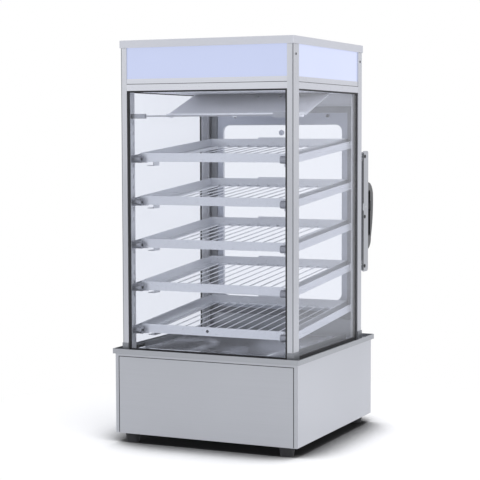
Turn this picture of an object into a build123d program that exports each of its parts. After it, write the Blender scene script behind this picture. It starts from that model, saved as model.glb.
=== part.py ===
from build123d import *
import os
from math import atan, cos, degrees, radians, sin

os.makedirs("parts", exist_ok=True)

# A glass display steamer for dumplings: a square base with a water tank, a glazed tower with five wire
# shelves, a light box on top and a door at the back with a lever latch.
# Millimetres. Z is up, the front faces -Y, and the middle of the footprint stands on the origin.

# Base
base_w = 419.0
base_d = 430.7
base_front = -240.4
foot_h = 20.0
foot_top_r = 16.5
foot_bottom_r = 13.5
foot_inset_x = 30.5
foot_inset_y = 19.5
base_wall_h = 172.0
sheet = 1.5
seam = 0.6
seat_flange_w = 16.0

# Deck tray
rim_over_side = 5.5
rim_over_front = 4.6
rim_over_back = 7.0
lip_h = 10.5
lip_drop = 2.0
lip_corner_r = 3.0
curb_h = 5.0
guard_h = 14.5
guard_gap = 1.0
guard_inset_y = 30.0

# Water tank
tank_inset_x = 31.4
tank_inset_back = 37.5
tank_setback = 25.0
tank_depth = 86.0
tank_wall = 1.2
tank_fit = 0.5
tank_flange = 6.0
element_r = 4.0
element_sides = 12
element_inset_x = 105.0
element_bend_r = 30.0
element_clear = 14.0
element_setback = 50.0

# Tower
tower_inset_x = 13.1
tower_inset_back = 28.1
tower_setback = 10.1
post_t = 2.5
post_groove = 1.2
front_post_w = 13.3
front_post_d = 30.0
rear_post_w = 18.4
rear_post_d = 24.0
shoe_h = 19.0
shoe_t = 1.2
tower_h = 551.4
low_rail_h = 13.9
high_rail_h = 10.9
high_rail_step = 0.8
rail_t = 2.5

# Top cap
header_h = 105.1
cap_t = 1.0
cap_lip = 15.8
cap_over_front = 2.8
cap_over_side = 2.0
cap_over_back = 1.5
cap_corner_r = 1.5

# Glazing
glass_t = 4.0
gasket_t = 6.0
gasket_cover = 3.0
gasket_hidden = 4.0
glass_edge = 2.0
light_panel_t = 3.0
light_panel_tuck = 4.0

# Inside frame
ring_gap = 0.3
ring_t = 1.5
ring_flange = 19.7
ceiling_t = 1.5
ceiling_gap = 0.5
pilaster_w = 27.0
pilaster_lip = 6.4
slot_w = 3.0
slot_h = 9.0
slot_pitch = 22.75
slot_start = 30.0
slot_inset = 7.0

# Condensate sheet and drip bar
drip_inset_x = 31.4
drip_t = 1.0
drip_front_set = 143.3
drip_length = 139.0
drip_drop = 50.9
drip_hem = 5.0
nut_r = 5.5
nut_h = 4.0
nut_inset = 11.0
bar_end_l = 38.1
bar_h = 3.2
bar_d = 3.0
bar_setback = 15.3
bar_drop = 52.9
block_h = 10.0
block_d = 6.0

# Shelves
shelf_count = 5
shelf_side_gap = 14.6
shelf_back_gap = 19.2
shelf_setback = 30.3
shelf_low_gap = 39.0
shelf_top_gap = 148.8
shelf_rise = 29.3
rail_h = 18.5
shelf_sheet = 1.5
shelf_lip = 10.0
shelf_corner_x = 7.0
shelf_corner_z = 5.0
wire_r = 1.2
wire_sink = 0.2
wire_pitch = 24.5
wire_count = 13
wire_sides = 8
tab_w = 98.0
tab_rise = 3.0
tab_reach = 8.0
runner_gap = 0.3
runner_h = 16.0
runner_under = 17.0
runner_back_gap = 4.0
foot_tab_l = 25.0
foot_tab_drop = 10.0
foot_tab_w = 14.0
foot_tab_y = 28.0
peg_r = 8.0
peg_reach = 24.0
peg_gap = 0.3
peg_rise = 5.9
peg_sides = 24

# Rear frame and door
door_low_gap = 26.5
door_top_gap = 12.9
door_inset_x = 11.4
door_gap = 0.5
door_t = 7.8
door_skin = 1.5
sill_h = 42.0
rear_header_h = 27.9
frame_return = 10.0
window_inset_x = 36.5
window_inset_low = 57.0
window_inset_top = 57.0
window_r = 15.0
seal_gap = 1.0
seal_w = 14.0
seal_t = 2.7
door_glass_gap = 1.0
button_r = 6.3
button_t = 3.0
button_drop = 17.5

# Hinges
hinge_offset_x = 5.5
hinge_offset_y = 5.8
knuckle_r = 4.0
knuckle_h = 20.0
knuckle_gap = 0.3
hinge_pin_r = 2.0
pin_clear = 0.06
hinge_inset_low = 80.0
hinge_inset_top = 82.0
leaf_t = 1.5
leaf_w = 25.0
bracket_w = 9.9

# Latch
case_w = 24.4
case_d = 34.5
case_below = 146.3
case_above = 126.0
case_t = 1.5
case_end_r = 7.0
case_hole_r = 3.25
case_hole_y = 12.5
case_hole_rises = (113.6, -22.0, -133.6)
bar_t = 4.0
bar_gap = 0.3
latch_bar_w = 18.4
latch_bar_end = 6.0
pivot_y = 19.5
pivot_rise = 14.0
lever_pin_r = 2.4
lever_pin_clear = 0.1
hub_r = 6.0
hub_w = 14.0
nose_h = 5.0
nose_w = 8.0
nose_tip_gap = 1.2
nose_play_up = 0.5
nose_play_down = 2.1
nose_play_side = 0.5
arm_w = 12.0
arm_h = 14.0
arm_reach = 38.0
grip_w = 19.0
grip_gap = 1.5
grip_out = 39.3
grip_below = 97.5
grip_above = 54.5
grip_window_h = 22.0
grip_rim = 12.0
recess_r = 6.0
grip_recess = 4.0
grip_round = 13.0
grip_bow = 2.0
keeper_rises = (110.0, -124.0)
keeper_t = 3.0
keeper_inset = 5.9
keeper_stem_h = 6.0
keeper_head_h = 12.0
keeper_head_d = 3.5
keeper_gap = 0.7
keeper_foot_h = 18.0
keeper_foot_w = 8.5
keyhole_play = 0.5
keyhole_up = 6.0
keyhole_side = 1.5

# Rear controls
plate_inset_x = 39.5
plate_w = 140.0
plate_rise = 45.0
plate_h = 85.0
plate_t = 2.0
switch_insets = (25.0, 58.0)
switch_rise = 33.0
lamp_rise = 63.0
lamp_r = 5.0
lamp_h = 4.0
lamp_step = 1.0
rocker_w = 13.0
rocker_half_h = 9.0
rocker_wing = 4.0
rocker_saddle = 2.4
rocker_back = 3.0
rocker_sink = 1.0
rocker_pin_r = 0.8
rocker_pin_clear = 0.08
rocker_tilt = 8.0
rocker_play = 0.8
rocker_play_z = 2.2
housing_t = 1.2
housing_d = 12.0
knob_inset = 108.0
knob_rise = 40.0
knob_r = 19.0
knob_h = 16.0
knob_gap = 0.4
knob_bevel = 2.0
knob_flutes = 12
flute_sides = 8
flute_r = 2.5
shaft_r = 3.0
shaft_clear = 0.1
shaft_l = 22.0
thermostat_w = 40.0
thermostat_h = 34.0
thermostat_d = 28.0
gland_inset_x = 149.5
gland_rise = 32.0
gland_r = 11.0
gland_l = 16.0
gland_bore_r = 4.5
gland_bore_l = 12.0
drain_inset_x = 59.5
drain_rise = 42.0
drain_r = 9.0
drain_bore_r = 6.5
drain_l = 44.0
drain_elbow_inset = 25.0
valve_r = 12.0
valve_l = 20.0
valve_y = 10.0
stem_r = 4.0
stem_h = 20.0
stud_r = 2.0
stud_clear = 0.08
lever_l = 48.0
lever_w = 12.0
lever_t = 4.0
lever_gap = 0.2

# Planes and levels worked out from the sizes above
base_x = base_w / 2
base_back = base_front + base_d
base_z0 = foot_h
deck_z0 = base_z0 + base_wall_h
deck_z1 = deck_z0 + sheet
lip_z0 = deck_z0 - lip_drop
rim_top = lip_z0 + lip_h
tower_x = base_x - tower_inset_x
tower_front = base_front + tower_setback
tower_back = base_back - tower_inset_back
header_z = deck_z1 + tower_h
cap_top = header_z + header_h
post_top = cap_top - cap_t
high_rail_z = header_z + low_rail_h
light_z0 = high_rail_z + high_rail_h
ring_in = post_t + gasket_t + ring_gap
pilaster_x = tower_x - ring_in - ring_t
pilaster_front = tower_front + ring_in
pilaster_back = tower_back - ring_in
web_x = pilaster_x - sheet
ceiling_z0 = header_z - ceiling_t
shelf_x = web_x - shelf_side_gap
shelf_front = tower_front + shelf_setback
shelf_back = tower_back - shelf_back_gap
shelf_d = shelf_back - shelf_front
shelf_low_z = deck_z1 + shelf_low_gap
shelf_pitch = (header_z - shelf_top_gap - shelf_low_z) / (shelf_count - 1)
slope = atan(shelf_rise / shelf_d)
drip_front_y = tower_front + drip_front_set
drip_back_y = drip_front_y + drip_length
drip_front_z = header_z - drip_drop
bar_y = tower_front + bar_setback
bar_z = header_z - bar_drop
door_z0 = deck_z1 + door_low_gap
door_z1 = header_z - door_top_gap
door_half_w = tower_x - door_inset_x
door_y0 = tower_back + door_gap
door_y1 = door_y0 + door_t
opening_z0 = deck_z1 + sill_h
opening_z1 = header_z - rear_header_h
window_half_w = door_half_w - window_inset_x
window_z0 = door_z0 + window_inset_low
window_z1 = door_z1 - window_inset_top
pivot_z = (door_z0 + door_z1) / 2 + pivot_rise
case_x1 = tower_x
case_x0 = case_x1 - case_w
case_y0 = door_y1
case_y1 = case_y0 + case_d
case_z0 = pivot_z - case_below
case_z1 = pivot_z + case_above
pivot = (case_y0 + pivot_y, pivot_z)
case_mid = (case_x0 + case_x1) / 2
keeper_zs = [pivot_z + rise for rise in keeper_rises]
latch_bar_y0 = case_y0 + case_t + bar_gap
latch_bar_y1 = latch_bar_y0 + bar_t
grip_y0 = case_y1 + grip_gap
grip_y1 = case_y1 + grip_out
grip_z0 = pivot_z - grip_below
grip_z1 = pivot_z + grip_above
plate_x0 = -base_x + plate_inset_x
plate_x1 = plate_x0 + plate_w
plate_z0 = base_z0 + plate_rise
plate_z1 = plate_z0 + plate_h
switch_xs = [plate_x0 + inset for inset in switch_insets]
switch_z = plate_z0 + switch_rise
lamp_z = plate_z0 + lamp_rise
knob_x = plate_x0 + knob_inset
knob_z = plate_z0 + knob_rise
gland_x = base_x - gland_inset_x
gland_z = base_z0 + gland_rise
drain_x = base_x - drain_inset_x
drain_z = base_z0 + drain_rise


def block(x0, x1, y0, y1, z0, z1, mode=Mode.ADD):
    """Add or cut a block between two corners in the part being built."""
    with Locations(((x0 + x1) / 2, (y0 + y1) / 2, (z0 + z1) / 2)):
        Box(abs(x1 - x0), abs(y1 - y0), abs(z1 - z0), mode=mode)


def rod_x(x0, x1, y, z, r, mode=Mode.ADD):
    """Add or cut a round rod along X."""
    with Locations(((x0 + x1) / 2, y, z)):
        Cylinder(r, abs(x1 - x0), rotation=(0, 90, 0), mode=mode)


def rod_y(x, y0, y1, z, r, mode=Mode.ADD):
    """Add or cut a round rod along Y."""
    with Locations((x, (y0 + y1) / 2, z)):
        Cylinder(r, abs(y1 - y0), rotation=(90, 0, 0), mode=mode)


def rod_z(x, y, z0, z1, r, mode=Mode.ADD):
    """Add or cut a round rod along Z."""
    with Locations((x, y, (z0 + z1) / 2)):
        Cylinder(r, abs(z1 - z0), mode=mode)


def tower_ring(z0, z1, out, inner):
    """Add a square ring that follows the tower between two insets."""
    block(-tower_x + out, tower_x - out, tower_front + out, tower_back - out, z0, z1)
    block(-tower_x + inner, tower_x - inner, tower_front + inner, tower_back - inner, z0, z1, Mode.SUBTRACT)


def side_profile(x0, x1, points, mode=Mode.ADD):
    """Extrude an outline in Y and Z from x0 to x1."""
    with BuildSketch(Plane.YZ.offset(min(x0, x1))) as outline:
        with BuildLine():
            Polyline(*points, close=True)
        make_face()
    extrude(outline.sketch, amount=abs(x1 - x0), mode=mode)


def sloped(x0, x1, y0, y1, z_front, height, mode=Mode.ADD):
    """Add a bar that climbs towards the back with the slope of the shelves."""
    climb = (y1 - y0) * shelf_rise / shelf_d
    side_profile(x0, x1, [(y0, z_front), (y1, z_front + climb),
                          (y1, z_front + climb + height), (y0, z_front + height)], mode)


def climb_at(y):
    """Height that the slope has gained at y, counted from the shelf's front."""
    return (y - shelf_front) * shelf_rise / shelf_d


def save(builder, label):
    builder.part.label = label
    export_step(builder.part, f"parts/{label}.step")


# Base casing: two sides and a back folded from one sheet, with seat flanges for the front panel
side_front = base_front + sheet + seam
with BuildPart() as base_casing:
    for side in (-1, 1):
        block(side * base_x, side * (base_x - sheet), side_front, base_back, base_z0, deck_z0)
        block(side * (base_x - sheet), side * (base_x - seat_flange_w),
              side_front, side_front + sheet, base_z0, deck_z0)
    block(-base_x, base_x, base_back - sheet, base_back, base_z0, deck_z0)
    for x in switch_xs:
        block(x - rocker_w / 2 - rocker_play - housing_t, x + rocker_w / 2 + rocker_play + housing_t,
              base_back - sheet, base_back,
              switch_z - rocker_half_h - rocker_play_z - housing_t,
              switch_z + rocker_half_h + rocker_play_z + housing_t, Mode.SUBTRACT)
    rod_y(knob_x, base_back - sheet, base_back, knob_z, shaft_r + shaft_clear, Mode.SUBTRACT)
    rod_y(drain_x, base_back - sheet, base_back, drain_z, drain_r, Mode.SUBTRACT)
save(base_casing, "base_casing")

with BuildPart() as base_front_panel:
    block(-base_x, base_x, base_front, base_front + sheet, base_z0, deck_z0)
save(base_front_panel, "base_front_panel")

with BuildPart() as base_bottom:
    block(-base_x + sheet, base_x - sheet, side_front + sheet, base_back - sheet, base_z0, base_z0 + sheet)
save(base_bottom, "base_bottom")

foot_x = base_x - foot_inset_x
foot_ys = (base_front + foot_inset_y, base_back - foot_inset_y)
with BuildPart() as feet:
    with Locations(*[(x, y, foot_h / 2) for x in (-foot_x, foot_x) for y in foot_ys]):
        Cone(foot_bottom_r, foot_top_r, foot_h)
save(feet, "feet")

# Deck tray: a gutter between the outer lip and the curb that holds the tank
rim_x = base_x + rim_over_side
rim_front = base_front - rim_over_front
rim_back = base_back + rim_over_back
tank_x = tower_x - tank_inset_x
tank_front = tower_front + tank_setback
tank_back = tower_back - tank_inset_back
drain_elbow_y = tank_back - drain_elbow_inset
tank_out = tank_wall + tank_fit
with BuildPart() as deck_tray:
    block(-rim_x, rim_x, rim_front, rim_back, lip_z0, rim_top)
    fillet(deck_tray.edges().filter_by(Axis.Z), radius=lip_corner_r)
    block(-rim_x + sheet, rim_x - sheet, rim_front + sheet, rim_back - sheet, deck_z1, rim_top, Mode.SUBTRACT)
    block(-rim_x + sheet, rim_x - sheet, rim_front + sheet, rim_back - sheet, lip_z0, deck_z0, Mode.SUBTRACT)
    block(-tank_x - tank_out - sheet, tank_x + tank_out + sheet, tank_front - tank_out - sheet,
          tank_back + tank_out + sheet, deck_z1, deck_z1 + curb_h)
    block(-tank_x - tank_out, tank_x + tank_out, tank_front - tank_out, tank_back + tank_out,
          lip_z0, deck_z1 + curb_h, Mode.SUBTRACT)
    guard_x = tank_x + tank_flange + guard_gap
    for side in (-1, 1):
        block(side * guard_x, side * (guard_x + sheet), tank_front + guard_inset_y, tank_back,
              deck_z1, deck_z1 + guard_h)
save(deck_tray, "deck_tray")

tank_z1 = deck_z1 + curb_h + tank_wall
tank_z0 = tank_z1 - tank_depth
with BuildPart() as water_tank:
    block(-tank_x - tank_wall, tank_x + tank_wall, tank_front - tank_wall, tank_back + tank_wall, tank_z0, tank_z1)
    block(-tank_x - tank_flange, tank_x + tank_flange, tank_front - tank_flange, tank_back + tank_flange,
          tank_z1 - tank_wall, tank_z1)
    block(-tank_x, tank_x, tank_front, tank_back, tank_z0 + tank_wall, tank_z1, Mode.SUBTRACT)
    rod_z(drain_x, drain_elbow_y, tank_z0, tank_z0 + tank_wall, drain_bore_r, Mode.SUBTRACT)
save(water_tank, "water_tank")

# Heating element: one tube bent into a U that enters through the tank's back wall
element_z = tank_z0 + element_clear
element_front = tank_front + element_setback
element_half_w = tank_x - element_inset_x
with BuildPart() as heating_element:
    with BuildLine() as element_path:
        FilletPolyline((element_half_w, tank_back, element_z), (element_half_w, element_front, element_z),
                       (-element_half_w, element_front, element_z), (-element_half_w, tank_back, element_z),
                       radius=element_bend_r)
    with BuildSketch(Plane(origin=(element_half_w, tank_back, element_z), z_dir=(0, -1, 0))):
        RegularPolygon(element_r, element_sides)
    sweep()
save(heating_element, "heating_element")


# Corner posts: angles with a groove along the outer corner
def angle_outline(width, depth, thick, groove):
    """Outline of an angle, its outer corner at the origin and its legs along +X and +Y."""
    return [(groove, 0), (width, 0), (width, thick), (thick, thick), (thick, depth), (0, depth),
            (0, groove), (groove, groove)]


def placed(points, side, corner_y, inward):
    """Set an outline at a tower corner: side is the sign of X, inward the sign of Y into the tower."""
    return [(side * (tower_x - px), corner_y + inward * py) for px, py in points]


def upright(points, z0, z1):
    with BuildSketch(Plane.XY.offset(z0)) as outline:
        with BuildLine():
            Polyline(*points, close=True)
        make_face()
    extrude(outline.sketch, amount=z1 - z0, dir=(0, 0, 1))


corners = {
    "front_left": (-1, tower_front, 1, front_post_w, front_post_d),
    "front_right": (1, tower_front, 1, front_post_w, front_post_d),
    "rear_left": (-1, tower_back, -1, rear_post_w, rear_post_d),
    "rear_right": (1, tower_back, -1, rear_post_w, rear_post_d),
}
for name, (side, corner_y, inward, width, depth) in corners.items():
    with BuildPart() as post:
        upright(placed(angle_outline(width, depth, post_t, post_groove), side, corner_y, inward), deck_z1, post_top)
    save(post, f"post_{name}")

with BuildPart() as post_shoes:
    for side, corner_y, inward, width, depth in corners.values():
        shoe = [(-shoe_t, -shoe_t), (width, -shoe_t), (width, 0), (0, 0), (0, depth), (-shoe_t, depth)]
        upright(placed(shoe, side, corner_y, inward), deck_z1, deck_z1 + shoe_h)
save(post_shoes, "post_shoes")

# Glazing: a pane in a black channel gasket on three sides of the tower
front_half = tower_x - front_post_w
side_y0 = tower_front + front_post_d
side_y1 = tower_back - rear_post_d
glass_in = post_t + (gasket_t - glass_t) / 2
gasket_z1 = header_z + gasket_hidden
glass_z0 = deck_z1 + glass_edge
glass_z1 = header_z + glass_edge

with BuildPart() as front_glass:
    block(-front_half - glass_edge, front_half + glass_edge,
          tower_front + glass_in, tower_front + glass_in + glass_t, glass_z0, glass_z1)
save(front_glass, "front_glass")

for side, label in ((-1, "left_glass"), (1, "right_glass")):
    with BuildPart() as pane:
        block(side * (tower_x - glass_in), side * (tower_x - glass_in - glass_t),
              side_y0 - glass_edge, side_y1 + glass_edge, glass_z0, glass_z1)
    save(pane, label)

window_low = deck_z1 + gasket_hidden + gasket_cover
window_high = header_z - gasket_cover
with BuildPart() as glass_gaskets:
    block(-front_half - gasket_hidden, front_half + gasket_hidden,
          tower_front + post_t, tower_front + post_t + gasket_t, deck_z1, gasket_z1)
    block(-front_half + gasket_cover, front_half - gasket_cover,
          tower_front + post_t, tower_front + post_t + gasket_t, window_low, window_high, Mode.SUBTRACT)
    for side in (-1, 1):
        block(side * (tower_x - post_t), side * (tower_x - post_t - gasket_t),
              side_y0 - gasket_hidden, side_y1 + gasket_hidden, deck_z1, gasket_z1)
        block(side * (tower_x - post_t), side * (tower_x - post_t - gasket_t),
              side_y0 + gasket_cover, side_y1 - gasket_cover, window_low, window_high, Mode.SUBTRACT)
        block(side * (tower_x - glass_in), side * (tower_x - glass_in - glass_t),
              side_y0 - glass_edge, side_y1 + glass_edge, glass_z0, glass_z1, Mode.SUBTRACT)
    block(-front_half - glass_edge, front_half + glass_edge,
          tower_front + glass_in, tower_front + glass_in + glass_t, glass_z0, glass_z1, Mode.SUBTRACT)
save(glass_gaskets, "glass_gaskets")

# Header frame: the two visible rails between the posts and the ring behind them
ring_in_2 = ring_in + ring_t
with BuildPart() as header_frame:
    tower_ring(light_z0 - ring_t, light_z0, rail_t, ring_in_2)
    tower_ring(header_z + ring_t, light_z0 - ring_t, ring_in, ring_in_2)
    tower_ring(header_z, header_z + ring_t, ring_in, ring_in_2 + ring_flange)
    block(-front_half, front_half, tower_front, tower_front + rail_t, header_z, high_rail_z)
    block(-front_half, front_half, tower_front + high_rail_step, tower_front + rail_t, high_rail_z, light_z0)
    for side in (-1, 1):
        block(side * tower_x, side * (tower_x - rail_t), side_y0, side_y1, header_z, high_rail_z)
        block(side * (tower_x - high_rail_step), side * (tower_x - rail_t), side_y0, side_y1,
              high_rail_z, light_z0)
save(header_frame, "header_frame")

panel_z1 = post_top
with BuildPart() as light_panel_front:
    block(-front_half - light_panel_tuck, front_half + light_panel_tuck,
          tower_front + post_t, tower_front + post_t + light_panel_t, light_z0, panel_z1)
save(light_panel_front, "light_panel_front")

for side, label in ((-1, "light_panel_left"), (1, "light_panel_right")):
    with BuildPart() as panel:
        block(side * (tower_x - post_t), side * (tower_x - post_t - light_panel_t),
              side_y0 - light_panel_tuck, side_y1 + light_panel_tuck, light_z0, panel_z1)
    save(panel, label)

rear_half = tower_x - rear_post_w
with BuildPart() as header_back_panel:
    block(-rear_half, rear_half, tower_back - sheet, tower_back, header_z, post_top)
save(header_back_panel, "header_back_panel")

# Light batten: a tray with two lamp tubes above the ceiling
batten_w = 300.0
batten_d = 60.0
batten_h = 12.0
batten_y = tower_front + 60.0
tube_r = 8.0
tube_spread = 15.0
with BuildPart() as light_batten:
    block(-batten_w / 2, batten_w / 2, batten_y - batten_d / 2, batten_y + batten_d / 2,
          header_z, header_z + batten_h)
    block(-batten_w / 2 + sheet, batten_w / 2 - sheet, batten_y - batten_d / 2 + sheet,
          batten_y + batten_d / 2 - sheet, header_z, header_z + batten_h - sheet, Mode.SUBTRACT)
save(light_batten, "light_batten")

with BuildPart() as lamp_tubes:
    for spread in (-tube_spread, tube_spread):
        rod_x(-batten_w / 2, batten_w / 2, batten_y + spread, header_z + batten_h + tube_r, tube_r)
save(lamp_tubes, "lamp_tubes")

with BuildPart() as top_cap:
    block(-tower_x - cap_over_side, tower_x + cap_over_side, tower_front - cap_over_front,
          tower_back + cap_over_back, cap_top - cap_lip, cap_top)
    fillet(top_cap.edges().filter_by(Axis.Z), radius=cap_corner_r)
    block(-tower_x - cap_over_side + cap_t, tower_x + cap_over_side - cap_t, tower_front - cap_over_front + cap_t,
          tower_back + cap_over_back - cap_t, cap_top - cap_lip, post_top, Mode.SUBTRACT)
save(top_cap, "top_cap")

with BuildPart() as ceiling_panel:
    inset = ring_in_2 + ceiling_gap
    block(-tower_x + inset, tower_x - inset, tower_front + inset, tower_back - inset, ceiling_z0, header_z)
save(ceiling_panel, "ceiling_panel")

# Condensate sheet: hangs from the ceiling at its back edge and drips at its front edge
drip_rise = ceiling_z0 - drip_t - drip_front_z
drip_half_w = tower_x - drip_inset_x
nut_x = drip_half_w - nut_inset
bar_half = web_x - bar_end_l
with BuildPart() as drip_sheet:
    side_profile(-drip_half_w, drip_half_w,
                 [(drip_front_y, drip_front_z), (drip_back_y, drip_front_z + drip_rise),
                  (drip_back_y + drip_hem * 2, drip_front_z + drip_rise),
                  (drip_back_y + drip_hem * 2, ceiling_z0), (drip_back_y, ceiling_z0),
                  (drip_front_y, drip_front_z + drip_t)])
    side_profile(-drip_half_w, drip_half_w,
                 [(drip_front_y - drip_t, drip_front_z), (drip_front_y, drip_front_z),
                  (drip_front_y, drip_front_z + drip_hem), (drip_front_y - drip_t, drip_front_z + drip_hem)])
    for x in (-nut_x, 0, nut_x):
        rod_z(x, drip_front_y, drip_front_z - nut_h, drip_front_z, nut_r)
save(drip_sheet, "drip_sheet")

with BuildPart() as drip_bar:
    block(-bar_half, bar_half, bar_y - bar_d / 2, bar_y + bar_d / 2, bar_z - bar_h / 2, bar_z + bar_h / 2)
    for side in (-1, 1):
        block(side * bar_half, side * web_x, bar_y - block_d / 2, bar_y + block_d / 2,
              bar_z - block_h / 2, bar_z + block_h / 2)
save(drip_bar, "drip_bar")

# Slotted pilasters
slot_total = int((ceiling_z0 - deck_z1 - 2 * slot_start) / slot_pitch) + 1
slot_zs = [deck_z1 + slot_start + i * slot_pitch for i in range(slot_total)]
with BuildPart() as pilasters:
    for side in (-1, 1):
        for corner_y, inward in ((pilaster_front, 1), (pilaster_back, -1)):
            block(side * pilaster_x, side * web_x, corner_y, corner_y + inward * pilaster_w,
                  deck_z1, ceiling_z0)
            block(side * pilaster_x, side * (pilaster_x - pilaster_lip), corner_y, corner_y + inward * sheet,
                  deck_z1, ceiling_z0)
            slot_y = corner_y + inward * (pilaster_w - slot_inset)
            with Locations(*[(side * (pilaster_x - sheet / 2), slot_y, z) for z in slot_zs]):
                Box(2 * sheet, slot_w, slot_h, mode=Mode.SUBTRACT)
save(pilasters, "pilasters")

# Shelf runners: angles between the pilasters, each with a hanging tab near its front end
runner_front = shelf_front + peg_gap
runner_back = pilaster_back - sheet - runner_back_gap
flange_x = shelf_x - runner_under
shelf_zs = [shelf_low_z + i * shelf_pitch for i in range(shelf_count)]
for side, label in ((-1, "runners_left"), (1, "runners_right")):
    with BuildPart() as runners:
        for shelf_z in shelf_zs:
            z = shelf_z + climb_at(runner_front) - runner_gap - sheet
            sloped(side * web_x, side * (web_x - sheet), runner_front, runner_back, z, runner_h)
            sloped(side * web_x, side * flange_x, runner_front, runner_back, z, sheet)
            tab_y = runner_front + foot_tab_y
            tab_top = z + climb_at(tab_y) + sheet
            block(side * flange_x, side * (flange_x - sheet), tab_y, tab_y + foot_tab_l,
                  tab_top - foot_tab_drop - sheet, tab_top)
            block(side * flange_x, side * (flange_x + foot_tab_w), tab_y, tab_y + foot_tab_l,
                  tab_top - foot_tab_drop - sheet, tab_top - foot_tab_drop)
    save(runners, label)

peg_y = shelf_front - peg_gap - peg_r
with BuildPart() as stop_pegs:
    for shelf_z in shelf_zs:
        for side in (-1, 1):
            with BuildSketch(Plane.YZ.offset(side * web_x)) as peg_end:
                with Locations((peg_y, shelf_z + peg_rise)):
                    RegularPolygon(peg_r, peg_sides)
            extrude(peg_end.sketch, amount=-side * peg_reach)
save(stop_pegs, "stop_pegs")

# Shelves: a folded rim that slopes down to the front, bottom lips, wires and a pull tab at the back
for number, shelf_z in enumerate(shelf_zs, start=1):
    with BuildPart() as shelf:
        block(-shelf_x, shelf_x, shelf_front, shelf_front + shelf_sheet, shelf_z, shelf_z + rail_h)
        back_z = shelf_z + climb_at(shelf_back - shelf_sheet)
        block(-shelf_x, shelf_x, shelf_back - shelf_sheet, shelf_back, back_z, back_z + rail_h)
        sloped(-shelf_x, shelf_x, shelf_front + shelf_sheet, shelf_front + shelf_lip,
               shelf_z + climb_at(shelf_front + shelf_sheet), shelf_sheet)
        sloped(-shelf_x, shelf_x, shelf_back - shelf_lip, shelf_back - shelf_sheet,
               shelf_z + climb_at(shelf_back - shelf_lip), shelf_sheet)
        for side in (-1, 1):
            sloped(side * shelf_x, side * (shelf_x - shelf_sheet), shelf_front + shelf_sheet,
                   shelf_back - shelf_sheet, shelf_z + climb_at(shelf_front + shelf_sheet), rail_h)
            sloped(side * shelf_x, side * (shelf_x - shelf_lip), shelf_front + shelf_sheet,
                   shelf_back - shelf_sheet, shelf_z + climb_at(shelf_front + shelf_sheet), shelf_sheet)
        tab_z = back_z + rail_h
        block(-tab_w / 2, tab_w / 2, shelf_back - shelf_sheet, shelf_back, tab_z, tab_z + tab_rise)
        block(-tab_w / 2, tab_w / 2, shelf_back, shelf_back + tab_reach, tab_z + tab_rise - shelf_sheet,
              tab_z + tab_rise)
        wire_y = shelf_front + shelf_sheet / 2
        wire_z = shelf_z + climb_at(wire_y) + shelf_sheet + wire_r - wire_sink
        wire_l = (shelf_d - shelf_sheet) / cos(slope)
        along = (0, cos(slope), sin(slope))
        with BuildSketch(Plane(origin=(0, wire_y, wire_z), x_dir=(1, 0, 0), z_dir=along)) as wire_ends:
            with GridLocations(wire_pitch, 1, wire_count, 1):
                RegularPolygon(wire_r, wire_sides)
        extrude(wire_ends.sketch, amount=wire_l)
        corner_z = shelf_z + rail_h
        with BuildSketch(Plane.XZ.offset(-shelf_front)) as corner_cuts:
            for side in (-1, 1):
                with BuildLine():
                    Polyline((side * shelf_x, corner_z + shelf_rise),
                             (side * (shelf_x - shelf_corner_x), corner_z + shelf_rise),
                             (side * (shelf_x - shelf_corner_x), corner_z),
                             (side * shelf_x, corner_z - shelf_corner_z), close=True)
                make_face()
        extrude(corner_cuts.sketch, amount=-2 * shelf_sheet, mode=Mode.SUBTRACT)
    save(shelf, f"shelf_{number}")

# Rear frame: sill and header that close the back above and below the door
return_half = pilaster_x - pilaster_lip - ring_gap
with BuildPart() as rear_sill:
    block(-rear_half, rear_half, tower_back - sheet, tower_back, deck_z1, opening_z0)
    block(-return_half, return_half, tower_back - frame_return, tower_back - sheet, opening_z0 - sheet, opening_z0)
save(rear_sill, "rear_sill")

with BuildPart() as rear_header:
    block(-rear_half, rear_half, tower_back - sheet, tower_back, opening_z1, header_z)
    block(-return_half, return_half, tower_back - frame_return, tower_back - sheet, opening_z1, opening_z1 + sheet)
save(rear_header, "rear_header")

# Door: a hollow pan with a rounded window, the pane and the seal behind it
window_h = window_z1 - window_z0
window_mid = (window_z0 + window_z1) / 2
door_mid = (door_z0 + door_z1) / 2
with BuildPart() as door_frame:
    with BuildSketch(Plane.XZ.offset(-door_y1)):
        with Locations((0, door_mid)):
            RectangleRounded(2 * door_half_w, door_z1 - door_z0, 2 * door_skin)
        with Locations((0, window_mid)):
            RectangleRounded(2 * window_half_w, window_h, window_r, mode=Mode.SUBTRACT)
    extrude(amount=door_t)
    with BuildSketch(Plane.XZ.offset(-door_y1 + door_skin)):
        with Locations((0, door_mid)):
            Rectangle(2 * (door_half_w - door_skin), door_z1 - door_z0 - 2 * door_skin)
        with Locations((0, window_mid)):
            RectangleRounded(2 * (window_half_w + door_skin), window_h + 2 * door_skin, window_r + door_skin,
                             mode=Mode.SUBTRACT)
    extrude(amount=door_t - 2 * door_skin, mode=Mode.SUBTRACT)
save(door_frame, "door_frame")

seal_x = rear_half - seal_gap
seal_z0 = opening_z0 + seal_gap
seal_z1 = opening_z1 - seal_gap
with BuildPart() as door_seal:
    block(-seal_x, seal_x, door_y0 - seal_t, door_y0, seal_z0, seal_z1)
    block(-seal_x + seal_w, seal_x - seal_w, door_y0 - seal_t, door_y0, seal_z0 + seal_w, seal_z1 - seal_w,
          Mode.SUBTRACT)
save(door_seal, "door_seal")

pane_in = seal_w + door_glass_gap
with BuildPart() as door_glass:
    block(-seal_x + pane_in, seal_x - pane_in, door_y0 - glass_t, door_y0, seal_z0 + pane_in, seal_z1 - pane_in)
save(door_glass, "door_glass")

with BuildPart() as glass_button:
    rod_y(0, door_y0, door_y0 + button_t, window_z1 - button_drop, button_r)
save(glass_button, "glass_button")

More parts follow.
